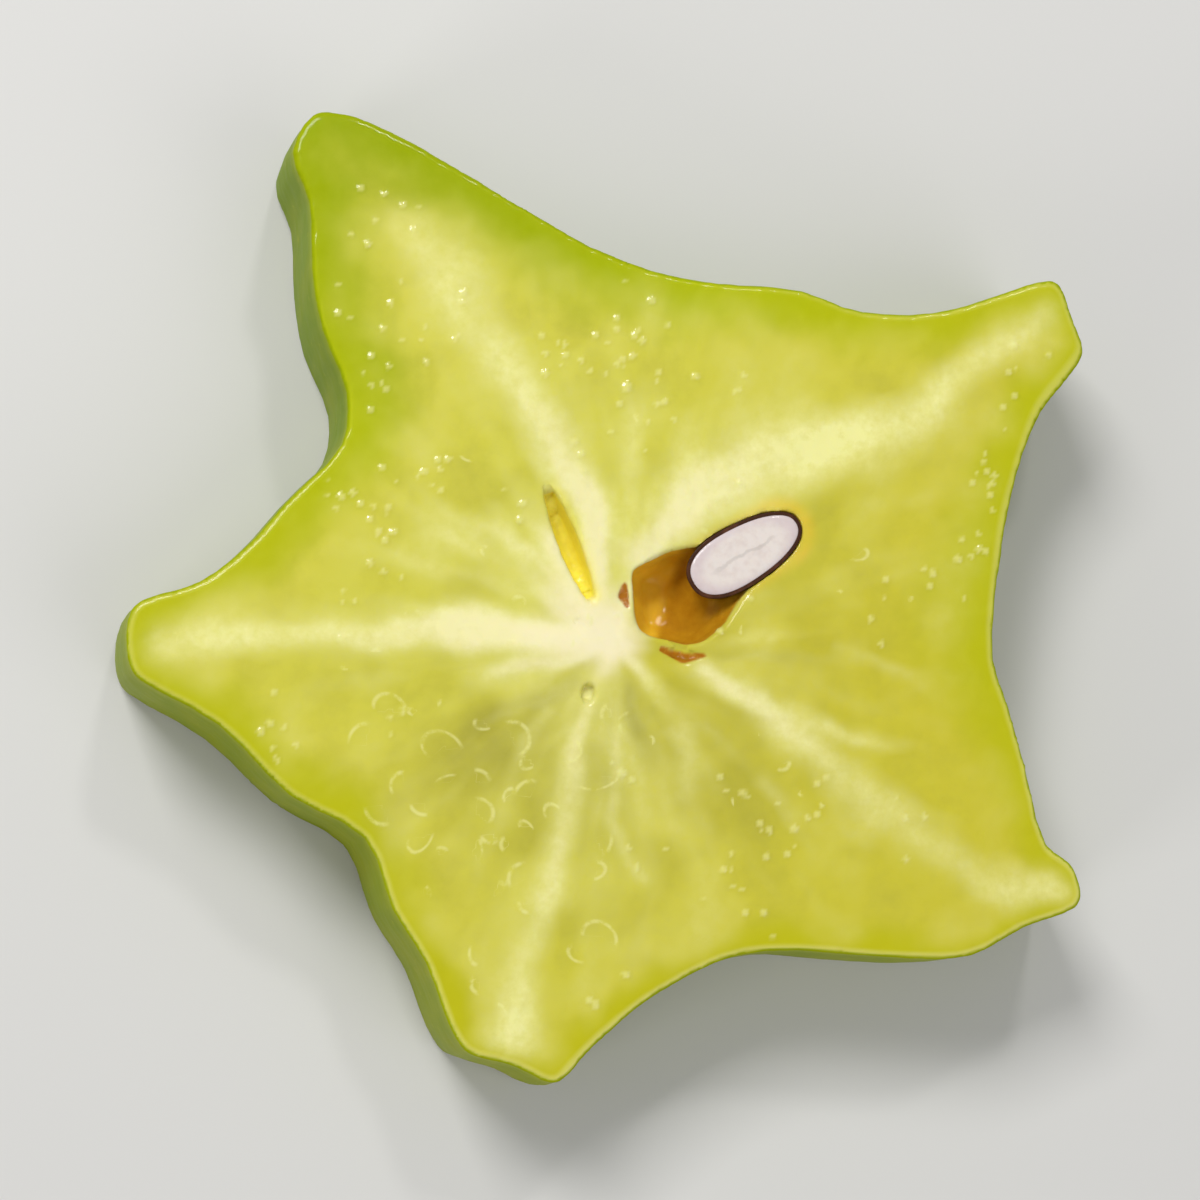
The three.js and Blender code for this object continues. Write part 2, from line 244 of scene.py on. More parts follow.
# Heights of the relief
SAC_HEIGHT = 0.03
CREASE_DEPTH = 0.1
SWELL_HEIGHT = 0.16
GRAIN_HEIGHT = 0.02

# Where in the noise each pattern is taken from, so that no two are alike
PATTERNS = {
    "fibres": (3.1, 7.7, 1.3),
    "grain": (5.0, 1.0, 9.0),
    "swell": (8.0, 3.0, 2.0),
    "sway_x": (9.0, 2.0, 5.0),
    "sway_y": (2.0, 8.0, 4.0),
    "wisps": (4.0, 2.0, 6.0),
    "strands": (7.0, 1.0, 2.0),
    "clouds": (1.0, 5.0, 3.0),
}
# How many fibres, strands and wisps stand round the core, in the noise's own measure
FIBRE_FINENESS = 13
STRAND_FINENESS = 10
WISP_FINENESS = 3
# How coarse the sway of the streaks is, and how far it moves them
SWAY_SCALE = 0.22
SWAY = 0.6


class Loop:
    """A thin pale arc, the edge of a juice sac that the knife opened."""

    def __init__(self, draw, centre, spread, sizes):
        self.centre = np.array([draw.gauss(centre[0], spread[0]), draw.gauss(centre[1], spread[1])])
        self.radius = draw.uniform(*sizes)
        self.reach = ARC_ROOM * self.radius
        self.squash = draw.uniform(*ARC_SQUASH)
        self.turn = draw.uniform(0, math.pi)
        self.facing = draw.uniform(-math.pi, math.pi)
        self.half_angle = draw.uniform(*ARC_HALF_ANGLE)

    def crowds(self, others):
        """Whether it lies so close to another arc that the two would run together."""
        return any(math.dist(self.centre, other.centre) < self.reach + other.reach for other in others)

    def gap(self, flat):
        """Distance of each point outside the arc's circle, and how much of the arc is there."""
        x, y = (flat - self.centre).T
        along = x * math.cos(self.turn) + y * math.sin(self.turn)
        aside = (y * math.cos(self.turn) - x * math.sin(self.turn)) / self.squash
        angle = np.arctan2(aside, along) - self.facing
        angle = np.abs((angle + math.pi) % (2 * math.pi) - math.pi)
        arc = smooth_step(angle, self.half_angle, self.half_angle - ARC_SOFT_END)
        return np.hypot(along, aside) - self.radius, arc


class SliceSettings(bpy.types.PropertyGroup):
    """Sizes and colours of the flesh and skin."""

    voxel: bpy.props.FloatProperty(
        name="Mesh spacing", description="Spacing of the slice's mesh before its cut face is refined",
        default=0.33 * MM, subtype="DISTANCE", unit="LENGTH",
    )
    fibre_relief: bpy.props.FloatProperty(
        name="Fibre relief", description="Height of the fibres on the cut faces",
        default=0.03 * MM, subtype="DISTANCE", unit="LENGTH",
    )
    beads: bpy.props.IntProperty(
        name="Juice beads", description="How many small beads of juice stand in each cluster", default=4,
    )
    loops: bpy.props.IntProperty(
        name="Juice sacs", description="How many opened juice sacs leave a pale arc", default=110,
    )
    flesh: bpy.props.FloatVectorProperty(
        name="Flesh", description="Yellow-green flesh between the rays",
        default=(0.65, 0.615, 0.075), subtype="COLOR", size=3,
    )
    golden: bpy.props.FloatVectorProperty(
        name="Golden flesh", description="Riper flesh on the right side",
        default=(0.60, 0.535, 0.035), subtype="COLOR", size=3,
    )
    watery: bpy.props.FloatVectorProperty(
        name="Watery flesh", description="Darker, more translucent flesh near the core",
        default=(0.42, 0.385, 0.055), subtype="COLOR", size=3,
    )
    ray: bpy.props.FloatVectorProperty(
        name="Rays", description="Pale fibres of the vascular rays",
        default=(0.86, 0.83, 0.34), subtype="COLOR", size=3,
    )
    core: bpy.props.FloatVectorProperty(
        name="Core", description="Nearly white flesh where the rays meet",
        default=(0.93, 0.84, 0.54), subtype="COLOR", size=3,
    )
    rim_green: bpy.props.FloatVectorProperty(
        name="Green rim", description="Chartreuse flesh just inside the skin of the less ripe side",
        default=(0.45, 0.50, 0.002), subtype="COLOR", size=3,
    )
    tip_green: bpy.props.FloatVectorProperty(
        name="Green tip", description="Deepest green, at the tip of the longest rib",
        default=(0.30, 0.38, 0.001), subtype="COLOR", size=3,
    )
    rim_gold: bpy.props.FloatVectorProperty(
        name="Golden rim", description="Yellow flesh just inside the skin of the riper side",
        default=(0.56, 0.515, 0.012), subtype="COLOR", size=3,
    )
    skin: bpy.props.FloatVectorProperty(
        name="Skin", description="Waxy yellow-green skin of the flanks",
        default=(0.31, 0.35, 0.001), subtype="COLOR", size=3,
    )
    skin_green: bpy.props.FloatVectorProperty(
        name="Green skin", description="Darker green skin of the less ripe side",
        default=(0.20, 0.29, 0.001), subtype="COLOR", size=3,
    )
    # Painted light: the lining's amber, made brighter so the open locule's unshaded side looks lit; it also
    # tints the flesh that touches the seed
    amber: bpy.props.FloatVectorProperty(
        name="Locule wall", description="Amber lining of the open locule",
        default=(0.94, 0.58, 0.035), subtype="COLOR", size=3,
    )
    # Painted shade: the darker amber of the open locule's shaded far side; it also darkens the middle of
    # the creases
    shade_and_crease_amber: bpy.props.FloatVectorProperty(
        name="Locule floor", description="Darker amber at the bottom of the open locule",
        default=(0.40, 0.17, 0.004), subtype="COLOR", size=3,
    )
    slit: bpy.props.FloatVectorProperty(
        name="Slit wall", description="Yellow lining of the narrow locules",
        default=(0.92, 0.80, 0.09), subtype="COLOR", size=3,
    )
    stain: bpy.props.FloatVectorProperty(
        name="Stain", description="Brown-orange stain of the creases beside the open locule",
        default=(0.45, 0.13, 0.002), subtype="COLOR", size=3,
    )


class SeedSettings(bpy.types.PropertyGroup):
    """Sizes and colours of the halved seed."""

    rim_bevel: bpy.props.FloatProperty(
        name="Rim bevel", description="Rounding of the coat's cut rim",
        default=0.06 * MM, subtype="DISTANCE", unit="LENGTH",
    )
    kernel_fit: bpy.props.FloatProperty(
        name="Kernel fit", description="How far the kernel is grown to meet its coat",
        default=0.22 * MM, subtype="DISTANCE", unit="LENGTH",
    )
    coat: bpy.props.FloatVectorProperty(
        name="Coat", description="Dark brown seed coat",
        default=(0.050, 0.018, 0.008), subtype="COLOR", size=3,
    )
    kernel: bpy.props.FloatVectorProperty(
        name="Kernel", description="Ivory kernel with a faint mauve tone",
        default=(0.80, 0.72, 0.66), subtype="COLOR", size=3,
    )


class StageSettings(bpy.types.PropertyGroup):
    """Camera, floor and lights."""

    tilt: bpy.props.FloatProperty(
        name="Camera tilt", description="Lean of the view from straight down, towards the lower left",
        default=math.radians(10), subtype="ANGLE", unit="ROTATION",
    )
    filling: bpy.props.FloatProperty(
        name="Filling", description="Share of the frame that the slice fills",
        default=0.80, min=0.1, max=1.0, subtype="FACTOR",
    )
    lens: bpy.props.FloatProperty(
        name="Lens", description="Focal length of the camera", default=85.0, subtype="DISTANCE_CAMERA",
    )
    floor: bpy.props.FloatVectorProperty(
        name="Floor", description="Plain pale floor", default=(0.68, 0.67, 0.645), subtype="COLOR", size=3,
    )


class Wire:
    """A socket in a material, with arithmetic that adds the matching Math nodes."""

    def __init__(self, finish, socket):
        self.finish = finish
        self.socket = socket

    def twin(self, name):
        """Another output of the same node."""
        return Wire(self.finish, self.socket.node.outputs[name])

    def __add__(self, other):
        return self.finish.math("ADD", self, other)

    def __sub__(self, other):
        return self.finish.math("SUBTRACT", self, other)

    def __rsub__(self, other):
        return self.finish.math("SUBTRACT", other, self)

    def __mul__(self, other):
        return self.finish.math("MULTIPLY", self, other)

    __radd__ = __add__
    __rmul__ = __mul__

    def __truediv__(self, other):
        return self.finish.math("DIVIDE", self, other)

    def between(self, low, high):
        """Rises smoothly from 0 at low to 1 at high, or falls where low is the greater."""
        if low > high:
            return 1 - self.between(high, low)
        settings = {"interpolation_type": "SMOOTHSTEP"}
        return self.finish.node("ShaderNodeMapRange", settings, {0: self, 1: low, 2: high})


class Finish:
    """A node material in the making."""

    def __init__(self, name):
        self.material = bpy.data.materials.new(name)
        self.material.use_nodes = True
        self.tree = self.material.node_tree
        self.tree.nodes.clear()
        place = self.node("ShaderNodeTexCoord", output="Object")
        self.place = self.scaled(place, 1 / MM)

    def node(self, kind, settings=None, inputs=None, output=0):
        """Adds a node, sets it up, feeds its sockets, and returns the named output."""
        made = self.tree.nodes.new(kind)
        for name, value in (settings or {}).items():
            setattr(made, name, value)
        for name, value in (inputs or {}).items():
            if isinstance(value, Wire):
                self.tree.links.new(value.socket, made.inputs[name])
            else:
                made.inputs[name].default_value = value
        return Wire(self, made.outputs[output]) if len(made.outputs) else made

    def math(self, operation, *values):
        return self.node("ShaderNodeMath", {"operation": operation}, dict(enumerate(values)))

    def mix(self, factor, first, second, blend="MIX"):
        """Blends two colours by a factor."""
        settings = {"data_type": "RGBA", "blend_type": blend}
        inputs = {0: factor, 6: opaque(first), 7: opaque(second)}
        return self.node("ShaderNodeMix", settings, inputs, output=2)

    def scaled(self, vector, factor):
        settings = {"operation": "SCALE"}
        return self.node("ShaderNodeVectorMath", settings, {0: vector, "Scale": factor})

    def vector(self, x, y, z):
        return self.node("ShaderNodeCombineXYZ", None, {0: x, 1: y, 2: z})

    def moved(self, vector, offset):
        return self.node("ShaderNodeVectorMath", {"operation": "ADD"}, {0: vector, 1: offset})

    def parts(self, vector):
        """The three parts of a vector, each a wire."""
        first = self.node("ShaderNodeSeparateXYZ", None, {0: vector})
        return first, first.twin("Y"), first.twin("Z")

    def attribute(self, name):
        """The three parts of a vector that the mesh carries under this name."""
        return self.parts(self.node("ShaderNodeAttribute", {"attribute_name": name}, output="Vector"))

    def noise(self, vector, scale, detail=2.0, roughness=0.5):
        inputs = {"Vector": vector, "Scale": scale, "Detail": detail, "Roughness": roughness}
        return self.node("ShaderNodeTexNoise", None, inputs, output="Fac")

    def bump(self, height, depth, strength=1.0):
        inputs = {"Height": height, "Distance": depth, "Strength": strength}
        return self.node("ShaderNodeBump", None, inputs)

    def principled(self, **sockets):
        """A Principled surface, with its sockets named with _ for a space."""
        inputs = {name.replace("_", " "): value for name, value in sockets.items()}
        return self.node("ShaderNodeBsdfPrincipled", None, inputs)

    def blend(self, factor, first, second):
        """Blends two surfaces by a factor."""
        return self.node("ShaderNodeMixShader", None, {0: factor, 1: first, 2: second})

    def complete(self, shader):
        """Ends the material in this surface."""
        self.node("ShaderNodeOutputMaterial", None, {"Surface": shader})
        return self.material

    def surface(self, **sockets):
        """Ends the material in one Principled surface."""
        return self.complete(self.principled(**sockets))


def opaque(colour):
    """A colour with its alpha, or a wire as it is."""
    return colour if isinstance(colour, Wire) else (*colour, 1.0)


def smooth_step(values, low, high):
    share = np.clip((values - low) / (high - low), 0, 1)
    return share * share * (3 - 2 * share)


def solid_copy(node, name):
    """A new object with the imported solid's mesh, its loose triangles joined."""
    mesh = frame["nodes"][node].data.copy()
    mesh.name = name
    mesh.materials.clear()
    piece = bpy.data.objects.new(name, mesh)
    bpy.context.scene.collection.objects.link(piece)
    select_only(piece)
    bpy.ops.mesh.customdata_custom_splitnormals_clear()
    bpy.ops.object.mode_set(mode="EDIT")
    bpy.ops.mesh.select_all(action="SELECT")
    bpy.ops.mesh.remove_doubles(threshold=MERGE_GAP)
    bpy.ops.object.mode_set(mode="OBJECT")
    return piece


def select_only(piece):
    bpy.ops.object.select_all(action="DESELECT")
    piece.select_set(True)
    bpy.context.view_layer.objects.active = piece


def apply_modifier(piece, kind, **settings):
    """Adds a modifier with these settings and applies it."""
    modifier = piece.modifiers.new(kind.title(), kind)
    for name, value in settings.items():
        setattr(modifier, name, value)
    select_only(piece)
    bpy.ops.object.modifier_apply(modifier=modifier.name)


def coordinates(piece):
    """The vertices' places in millimetres, as rows."""
    flat = np.empty(len(piece.data.vertices) * 3)
    piece.data.vertices.foreach_get("co", flat)
    return flat.reshape(-1, 3) / MM


def vertex_normals(piece):
    flat = np.empty(len(piece.data.vertices) * 3)
    piece.data.vertex_normals.foreach_get("vector", flat)
    return flat.reshape(-1, 3)


def move_to(piece, places):
    piece.data.vertices.foreach_set("co", (places * MM).ravel())
    piece.data.update()


def store(piece, name, *parts):
    """Keeps up to three numbers for each vertex under one name, for the material to read."""
    layer = piece.data.attributes.new(name, "FLOAT_VECTOR", "POINT")
    rows = np.zeros((len(piece.data.vertices), 3))
    for column, values in enumerate(parts):
        rows[:, column] = values
    layer.data.foreach_set("vector", rows.ravel())


def noise_at(places, pattern, octaves=3):
    """A pattern's fractal noise, of about -1 to 1, at each row of places."""
    shift = Vector(PATTERNS[pattern])
    return np.array([noise.fractal(Vector(row) + shift, 1.0, 2.0, octaves) for row in places])


def around(bearing, stops):
    """A value that changes evenly round the core from one stop's bearing to the next."""
    bearings, values = zip(*stops)
    return np.interp(bearing, bearings, values, period=360)


def strongest(bands, flat):
    return np.max([band.weight(flat) for band in bands], axis=0)


def even_out(piece, values, rounds=4):
    """Averages a value over each vertex's neighbours, so that it changes smoothly along the mesh."""
    ends = np.empty(len(piece.data.edges) * 2, int)
    piece.data.edges.foreach_get("vertices", ends)
    first, second = ends.reshape(-1, 2).T
    count = len(values)
    neighbours = np.bincount(first, minlength=count) + np.bincount(second, minlength=count)
    for _ in range(rounds):
        total = np.bincount(first, values[second], count) + np.bincount(second, values[first], count)
        values = (values + total) / (neighbours + 1)
    return values


def skin_distance(places, flank):
    """Distance of every vertex from the nearest point of the skin, in millimetres."""
    rows = np.flatnonzero(flank)
    tree = kdtree.KDTree(len(rows))
    for index in rows:
        tree.insert((*places[index, :2], 0), int(index))
    tree.balance()
    return np.array([tree.find((x, y, 0))[2] for x, y, _ in places])


def loops_at(flat, count):
    """Signed distance of each point from the nearest pale arc, and the arc's strength there."""
    draw = random.Random(LOOP_SEED)
    nearest = np.full(len(flat), 9.0)
    strength = np.zeros(len(flat))
    loops = []
    for index in range(count):
        loop = Loop(draw, *SAC_GROUPS[index % len(SAC_GROUPS)])
        if not loop.crowds(loops):
            loops.append(loop)
    for loop in loops:
        gap, arc = loop.gap(flat)
        closer = (np.abs(gap) < np.abs(nearest)) & (arc > 0.01)
        nearest[closer] = gap[closer]
        strength[closer] = arc[closer]
    return nearest, strength


def beads_at(flat, skin_gap, count):
    """Height of the juice beads at each point, in millimetres, with this many in a cluster."""
    draw = random.Random(BEAD_SEED)
    lift = np.zeros(len(flat))
    clusters = [group[:2] for group in BEAD_GROUPS for _ in range(group[2])]
    for (x, y), (wide, tall) in clusters:
        cluster = np.array([draw.gauss(x, wide), draw.gauss(y, tall)])
        for _ in range(count):
            place = cluster + (draw.gauss(0, CLUSTER_SPREAD), draw.gauss(0, CLUSTER_SPREAD))
            radius = draw.uniform(*BEAD_RADIUS)
            share = np.linalg.norm(flat - place, axis=1) / radius
            lift = np.maximum(lift, BEAD_HEIGHT * radius * np.clip(1 - share ** 2, 0, 1))
    return lift * smooth_step(skin_gap, 0.5, 0.9)


def select_faces(piece, wanted):
    """Enters edit mode with the faces selected that pass a test of their centre and normal."""
    select_only(piece)
    bpy.ops.object.mode_set(mode="EDIT")
    bpy.ops.mesh.select_mode(type="FACE")
    mesh = bmesh.from_edit_mesh(piece.data)
    for face in mesh.faces:
        face.select_set(wanted(face.calc_center_median() / MM, face.normal))
    mesh.select_flush_mode()
    bmesh.update_edit_mesh(piece.data)


def refine_cut_face(piece):
    """Halves the mesh spacing on the upper cut face and in the pockets that open from it."""

    def fine(centre, _):
        in_pocket = centre.z > FACE_LEVEL / 3 and centre.xy.length < POCKET_REACH
        return centre.z > FACE_LEVEL - FACE_DEPTH or in_pocket

    select_faces(piece, fine)
    bpy.ops.mesh.subdivide(number_cuts=1, smoothness=0)
    bpy.ops.object.mode_set(mode="OBJECT")


def thin_underside(piece):
    """Widens the mesh spacing on the flat part of the underside, clear of its slits and edge."""

    def plain(centre, normal):
        return centre.z < LOWER_EDGE and normal.z < -0.99 and centre.xy.length > SLITS_END

    select_faces(piece, plain)
    bpy.ops.mesh.select_less()
    bpy.ops.mesh.select_less()
    bpy.ops.mesh.unsubdivide(iterations=2)
    bpy.ops.object.mode_set(mode="OBJECT")


def zones(piece):
    """Which vertices are on the flank, and how deep in a pocket each is, in millimetres."""
    places = coordinates(piece)
    normals = vertex_normals(piece)
    reach = np.hypot(places[:, 0], places[:, 1])
    inner = reach < POCKET_REACH
    upper = places[:, 2] > FACE_LEVEL / 2
    below_top = FACE_LEVEL + 0.1 - places[:, 2]
    depth = np.where(inner, np.where(upper, below_top, places[:, 2]), 0)
    flank = ~inner & (np.abs(normals[:, 2]) < 0.75) & (places[:, 2] > LOWER_EDGE)
    return places, normals, flank, np.clip(depth, 0, None)


def close_seed_bed(piece):
    """Draws the flesh round the seed up to its coat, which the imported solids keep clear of."""
    coat = frame["nodes"]["seed_coat"]
    low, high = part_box("seed_coat")
    places = coordinates(piece)
    above = places > np.array(low) / MM - BED_REACH
    below = places < np.array(high) / MM + BED_REACH
    near = np.all(above & below, axis=1)
    for index in np.flatnonzero(near):
        place = Vector(places[index]) * MM
        _, spot, _, _ = coat.closest_point_on_mesh(place)
        gap = (place - spot).length / MM
        if gap < BED_REACH:
            closed = np.interp(gap, (0, BED_GAP, BED_REACH), (*BED_STAND_OFF, BED_REACH))
            places[index] = np.array(spot + (place - spot).normalized() * closed * MM) / MM
    move_to(piece, places)


def raise_relief(piece, look):
    """Low relief: fibres, opened sacs and juice beads on the cut face, soft waves on the skin."""
    places, normals, flank, _ = zones(piece)
    flat = places[:, :2]
    skin_gap = skin_distance(places, flank)
    reach = np.hypot(*flat.T)
    fibres = noise_at(polar(flat, FIBRE_FINENESS), "fibres")
    grain = noise_at(places * 1.4, "grain")
    swell = noise_at(places * (0.16, 0.16, 0.07), "swell", octaves=2)
    upper = (places[:, 2] > FACE_LEVEL - FACE_DEPTH) & ~flank
    gap, arc = loops_at(flat, look.loops)
    sacs = arc * smooth_step(np.abs(gap), 0.22, 0.0)
    lift = look.fibre_relief / MM * (fibres * 0.8 + grain * 0.9) * smooth_step(reach, 1.0, 4.0)
    beads = beads_at(flat, skin_gap, look.beads) * upper
    creased = smooth_step(strongest(CREASES, flat), 0.2, 0.8) * upper
    marks = (SAC_HEIGHT * sacs + beads - CREASE_DEPTH * creased) * upper
    face_lift = lift * np.where(upper, 1.0, 0.4) + marks
    skin_lift = SWELL_HEIGHT * swell + GRAIN_HEIGHT * grain
    away_from_rest = smooth_step(places[:, 2], 0.0, 0.6)
    moved = places + normals * np.where(flank, skin_lift * away_from_rest, face_lift)[:, None]
    resting = places[:, 2] < 0.15
    moved[resting, 2] = np.clip(moved[resting, 2], 0, None)
    move_to(piece, moved)
    return smooth_step(beads, 0.0, 0.04)


def polar(flat, fineness):
    """Places in which noise draws out into fibres that run from the core."""
    reach = np.hypot(*flat.T) + 0.01
    return np.column_stack((flat / reach[:, None] * fineness, reach * 0.16))


def sway_places(places):
    """The places seen from above, moved about softly so that no streak runs dead straight."""
    sway = [noise_at(places * SWAY_SCALE, pattern) for pattern in ("sway_x", "sway_y")]
    return places[:, :2] + SWAY * np.column_stack(sway)


def paleness(reach, bearing, rays, wisp, strand, cloud):
    """How pale the flesh is, along the rays and in wisps and strands round the core."""
    pale = np.exp(-((reach / around(bearing, PALE_REACH)) ** 2))
    light = rays + (0.24 + 0.4 * wisp + 0.3 * strand) * pale * (1 - rays)
    return light + (0.18 * np.clip(wisp, 0, 1) + 0.16 * np.clip(strand, 0, 1) + 0.12 * cloud)


def wateriness(reach, bearing, streaks, wisp, cloud):
    """How watery the flesh is, along its streaks and in a broken ring round the core."""
    ring = around(bearing, WATERY) * np.exp(-(((reach - 7.5) / 6) ** 2)) * (0.7 - 0.8 * wisp)
    return np.maximum(streaks, ring) - 0.3 * cloud


def whiteness(reach, bearing, rays, wisp, strand):
    """How nearly white the flesh is, at the core and where strong rays leave it."""
    white_reach = around(bearing, WHITE_REACH)
    at_core = smooth_step(reach * (1 - 0.4 * wisp - 0.2 * strand) / white_reach, 1.0, 0.1)
    on_rays = 0.52 * smooth_step(rays, 0.3, 0.9) * smooth_step(reach, 17.0, 6.0)
    return np.maximum(at_core, on_rays)


def locule_parts(flat):
    """Where the open locule and the narrow one are, and the shaded side of the open one."""
    x, y = flat.T
    in_chamber = smooth_step(x, 0.3, 1.0) * smooth_step(y, -1.2, -0.6)
    in_slit = smooth_step(y, 1.0, 2.0) * (x < 0.4)
    shaded = smooth_step(x - 0.3 * (y - 2), 2.7, 3.5)
    return in_chamber, in_slit, shaded


def mark_flesh(piece, places, flank):
    """Stores how pale, white and watery the flesh is at each vertex, and how its rim looks."""
    flat = places[:, :2]
    reach = np.hypot(*flat.T)
    bearing = np.degrees(np.arctan2(flat[:, 1], flat[:, 0]))
    swayed = sway_places(places)
    wisp = noise_at(polar(swayed, WISP_FINENESS), "wisps")
    strand = noise_at(polar(swayed, STRAND_FINENESS), "strands") * smooth_step(reach, 2.5, 8.0)
    cloud = noise_at(places * 0.3, "clouds")
    skin_gap = even_out(piece, skin_distance(places, flank))
    green = around(bearing, GREEN_RIM)
    rim = smooth_step(skin_gap + 0.9 * cloud + 0.4 * wisp, around(bearing, RIM_WIDTH), 0.1)
    rays = strongest(PALE_BANDS, swayed) * (1 + 0.3 * wisp)
    light = paleness(reach, bearing, rays, wisp, strand, cloud)
    light *= smooth_step(skin_gap, 0.0, 1.0 + 1.2 * np.clip(green, 0, 1)) * (1 - 0.6 * rim * (1 - rays))
    wet = wateriness(reach, bearing, strongest(WATERY_BANDS, swayed), wisp, cloud)
    white = whiteness(reach, bearing, rays, wisp, strand)
    store(piece, "tone", *(even_out(piece, values, 2) for values in (light, white, wet)))
    store(piece, "rim", rim, green, around(bearing, GOLDEN))
    return skin_gap


def mark_zones(piece, look, beads):
    """Stores what the flesh material reads at each vertex."""
    places, normals, flank, depth = zones(piece)
    flat = places[:, :2]
    on_top = places[:, 2] > FACE_LEVEL / 2
    skin_gap = mark_flesh(piece, places, flank)
    in_chamber, in_slit, shaded = locule_parts(flat)
    gap, arc = loops_at(flat, look.loops)
    turned = np.where(np.hypot(*flat.T) < POCKET_REACH, 1, np.abs(normals[:, 2]))
    store(piece, "pocket", depth, in_chamber, in_slit)
    store(piece, "mark", strongest(CREASES, flat) * on_top, SLIT_GLOW.weight(flat) * on_top, shaded)
    store(piece, "sac", gap, arc * on_top, skin_gap)
    store(piece, "zone", even_out(piece, turned, 2), beads, SEED_TINT.weight(flat) * on_top)


def flesh_colour(finish, look, mottle):
    """Flesh that pales towards the core and its rays, and deepens towards the skin."""
    light, white, wet = finish.attribute("tone")
    rim, green, golden = finish.attribute("rim")
    gap, arc, skin_gap = finish.attribute("sac")
    uneven = mottle - 0.5
    colour = finish.mix(golden * 0.85, look.flesh, look.golden)
    colour = finish.mix(wet + uneven * 0.35, colour, look.watery)
    rim_colour = finish.mix(green, look.rim_gold, look.rim_green)
    rim_colour = finish.mix((green - 1) * 3, rim_colour, look.tip_green)
    colour = finish.mix(rim + uneven * 0.1, colour, rim_colour)
    colour = finish.mix(light * (0.4 + mottle * 1.2), colour, look.ray)
    colour = finish.mix(white + uneven * white * 0.4, colour, look.core)
    line = finish.math("ABSOLUTE", gap).between(0.18, 0.02) * arc * mottle.between(0.3, 0.6)
    colour = finish.mix(line * 0.5, colour, look.ray)
    # Painted highlight: a thin bright line along the cut face's edge by the skin, fainter where the rim is
    # greener
    edge = skin_gap.between(0.45, 0.1) * (1 - green)
    return finish.mix(edge * 0.45, colour, look.ray)


def pocket_colour(finish, look, mottle, colour):
    """Amber or yellow lining where a locule or a crease is open, the open locule painted lit on one side
    and shaded on the other.
    """
    depth, in_chamber, in_slit = finish.attribute("pocket")
    stain, glow, shaded = finish.attribute("mark")
    _, _, seed_tint = finish.attribute("zone")
    lining = finish.mix(in_slit, look.ray, look.slit)
    lining = finish.mix(in_chamber, lining, look.amber)
    # Painted shade: the shaded side of the open locule darkens to the darker amber, with random tone from
    # the mottle
    shade_and_tone = shaded * in_chamber * 0.85 + (mottle - 0.5) * 0.4
    lining = finish.mix(shade_and_tone, lining, look.shade_and_crease_amber)
    # Yellow band beside the narrow locule, at its upper end painted light over the slit's shade
    colour = finish.mix(glow, colour, look.slit)
    colour = finish.mix(seed_tint.between(0.14, 0.45) * (0.1 + mottle * 0.5), colour, look.amber)
    colour = finish.mix(depth.between(0.25, 0.5), colour, lining)
    colour = finish.mix(stain.between(0.3, 0.7) * 0.95, colour, look.stain)
    # The middle of each crease turns darker amber
    return finish.mix(stain.between(0.5, 0.95) * 0.8, colour, look.shade_and_crease_amber)


def skin_colour(finish, look, mottle):
    """Waxy skin, greener on the less ripe side, with pale specks."""
    _, green, _ = finish.attribute("rim")
    x, y, z = finish.parts(finish.place)
    streak = finish.noise(finish.vector(x * 0.5, y * 0.5, z * 0.12), 1.0, detail=3)
    colour = finish.mix(green * 0.7 + (streak - 0.42) * 1.6, look.skin, look.skin_green)
    colour = finish.mix(z.between(FACE_LEVEL - 1.8, FACE_LEVEL) * 0.45, colour, look.rim_green)
    return finish.mix(mottle.between(0.6, 0.78) * 0.35, colour, look.rim_gold)


def flesh_finish(look):
    """Wet translucent flesh with pale soft rays, amber pockets and waxy skin."""
    finish = Finish("star_fruit_flesh")
    turned, bead, _ = finish.attribute("zone")
    mottle = finish.noise(finish.place, 1.6, detail=3, roughness=0.6)
    colour = flesh_colour(finish, look, mottle)
    colour = pocket_colour(finish, look, mottle, colour)
    flesh = finish.principled(
        # Painted highlight: the juice beads are painted paler than the flesh, on top of their real gloss
        Base_Color=finish.mix(bead * 0.4, colour, look.ray),
        Roughness=0.4 - bead * 0.28,
        IOR=1.38,
        Specular_IOR_Level=0.05,
        Subsurface_Weight=0.4,
        Subsurface_Radius=(1.0, 0.85, 0.22),
        Subsurface_Scale=0.9 * MM,
        Coat_Weight=0.35 + bead * 0.65,
        Coat_Roughness=0.1,
        Coat_IOR=1.45,
    )
    skin = finish.principled(
        Base_Color=skin_colour(finish, look, mottle), Roughness=0.4, IOR=1.35, Specular_IOR_Level=0.06
    )
    return finish.complete(finish.blend(turned.between(0.85, 0.6), flesh, skin))


def coat_finish(look):
    """Hard, satin brown seed coat."""
    finish = Finish("seed_coat_brown")
    tone = finish.noise(finish.place, 1.4, detail=4)
    pale = tuple(min(1.0, part * 3.2) for part in look.coat)
    colour = finish.mix(tone.between(0.45, 0.8) * 0.6, look.coat, pale)
    grain = finish.bump(finish.noise(finish.place, 6.0, detail=3), 0.05 * MM, strength=0.5)
    return finish.surface(
        Base_Color=colour,
        Roughness=0.4 + tone * 0.2,
        IOR=1.4,
        Specular_IOR_Level=0.15,
        Coat_Weight=0.05,
        Normal=grain,
    )


